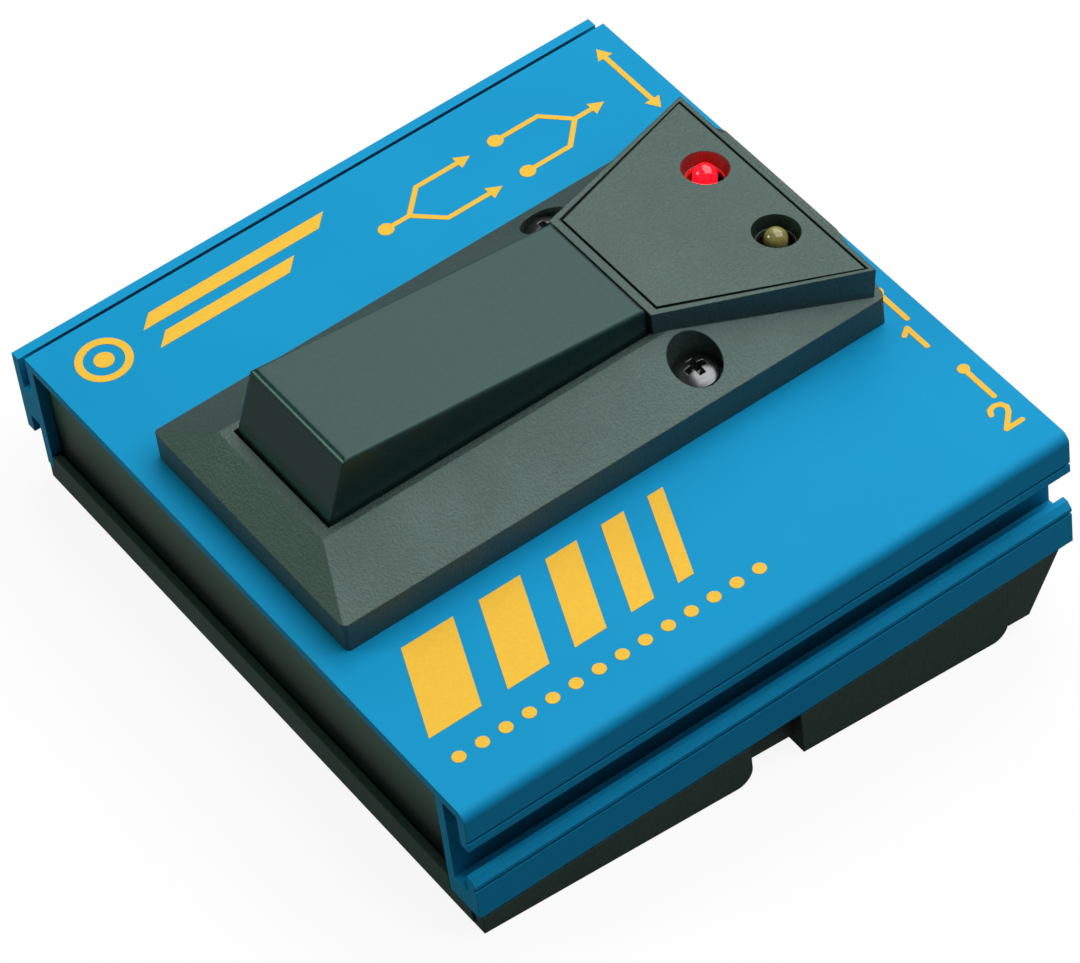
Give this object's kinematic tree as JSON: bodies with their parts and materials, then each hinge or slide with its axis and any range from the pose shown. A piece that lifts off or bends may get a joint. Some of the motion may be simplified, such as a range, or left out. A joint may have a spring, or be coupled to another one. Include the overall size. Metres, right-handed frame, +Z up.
{
  "type": "ab switch pedal",
  "caption": "Floor pedal that switches a signal between two paths: a wedge-shaped blue extruded case with joining rails, a hinged treadle, lamps and rear jacks.",
  "frame": {"origin": "middle of the outline on the floor under the feet", "axes": "+X to the right seen from the player, +Y from the front edge to the jacks at the rear, +Z up"},
  "size_m": [0.1102, 0.1026, 0.0464],
  "materials": {
    "blue_paint": "satin paint on an aluminium extrusion",
    "black_plastic": "moulded, fine grain",
    "black_rubber": "matt",
    "black_steel": "blackened screws",
    "panel_black": "semi-gloss",
    "plated": "nickel plate",
    "steel": "bare",
    "bezel_grey": "moulded, fine sparkle grain",
    "treadle_grey": "moulded, smooth satin",
    "red_lens": "tinted clear, lit",
    "amber_lens": "tinted clear, unlit",
    "board_green": "circuit board",
    "white_plastic": "moulded",
    "battery_wrap": "plain wrapped cell",
    "lead_pvc": "insulated wire"
  },
  "bodies": {
    "case": {"shell": "blue_paint", "base_tray": "black_plastic", "battery_snap": "black_plastic", "switch_body": "black_plastic", "jack_common": "black_plastic", "jack_first": "black_plastic", "jack_second": "black_plastic", "feet": "black_rubber", "stop_pad": "black_rubber", "base_screws": "black_steel", "bezel_screws": "black_steel", "front_panel": "panel_black", "rear_panel": "panel_black", "jack_washers": "plated", "jack_nuts": "plated", "hinge_pin": "steel", "return_spring": "steel", "board_screws": "steel", "lamp_board_screws": "steel", "bezel": "bezel_grey", "lamp_plate": "bezel_grey", "lamp_red": "red_lens", "lamp_amber": "amber_lens", "main_board": "board_green", "lamp_board": "board_green", "spring_cup": "white_plastic", "battery": "battery_wrap", "battery_leads": "lead_pvc", "lamp_leads": "lead_pvc", "jack_leads": "lead_pvc"},
    "treadle": {"treadle": "treadle_grey"},
    "plunger": {"switch_plunger": "white_plastic"},
    "flap": {"battery_lid": "black_plastic"}
  },
  "joints": [
    {"name": "treadle_press", "type": "hinge", "parent": "case", "child": "treadle", "pos_m": [-0.0005, 0.00854, 0.03581], "axis": [1, 0, 0], "range_deg": [0, 4.5], "stiffness_Nm_per_rad": 4, "springref_deg": -5.73, "deforming": ["return_spring"]},
    {"name": "plunger_slide", "type": "slide", "parent": "case", "child": "plunger", "axis": [0, 0.0872, -0.9962], "range_m": [0, 0.0026]},
    {"name": "flap_hinge", "type": "hinge", "parent": "case", "child": "flap", "pos_m": [-0.02525, -0.03975, 0.0044], "axis": [-1, 0, 0], "range_deg": [0, 75]}
  ],
  "couplings": [
    {"joint": "plunger_slide", "follows": "treadle_press", "m_per_rad": 0.0305}
  ]
}
